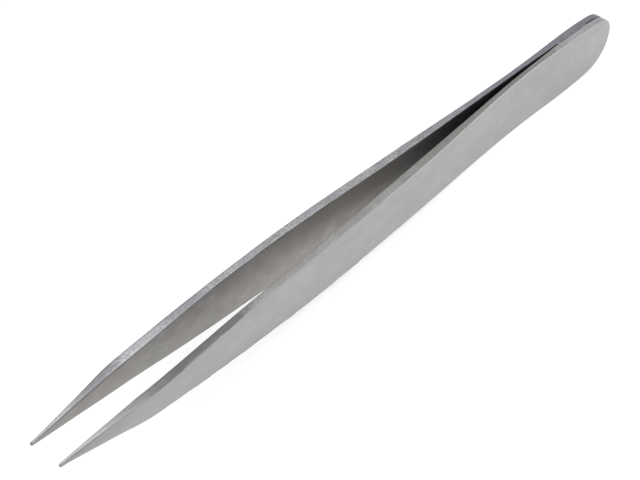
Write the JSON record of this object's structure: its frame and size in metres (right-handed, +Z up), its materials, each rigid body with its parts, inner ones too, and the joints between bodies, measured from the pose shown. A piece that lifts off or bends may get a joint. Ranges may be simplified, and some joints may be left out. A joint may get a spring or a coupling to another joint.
{
  "type": "precision tweezers",
  "caption": "Slim two-arm steel tweezers with fine ground points, bowed arms and a rounded welded butt; each arm flexes inward near the butt to close the points.",
  "frame": {"origin": "on the ground that the long edges stand on, below the middle of the bounding box", "axes": "+X along the length from the points to the butt, +Y across the opening towards the right arm, +Z up across the width of the arms"},
  "size_m": [0.12, 0.0074, 0.0104],
  "materials": {
    "arm_steel": "satin stainless steel, ground across the long edges",
    "weld_steel": "dressed weld, slightly darker and more matt"
  },
  "bodies": {
    "butt": {"left_arm_heel": "arm_steel", "right_arm_heel": "arm_steel", "upper_weld": "weld_steel", "lower_weld": "weld_steel"},
    "left_blade": {"left_arm_grip": "arm_steel", "left_arm_jaw": "arm_steel"},
    "right_blade": {"right_arm_grip": "arm_steel", "right_arm_jaw": "arm_steel"}
  },
  "joints": [
    {"name": "left_arm_flex", "type": "hinge", "parent": "butt", "child": "left_blade", "pos_m": [0.038, -0.00015, 0.0052], "axis": [0, 0, -1], "range_deg": [0, 1.22], "stiffness_Nm_per_rad": 2},
    {"name": "right_arm_flex", "type": "hinge", "parent": "butt", "child": "right_blade", "pos_m": [0.038, 0.00015, 0.0052], "axis": [0, 0, 1], "range_deg": [0, 1.22], "stiffness_Nm_per_rad": 2}
  ]
}
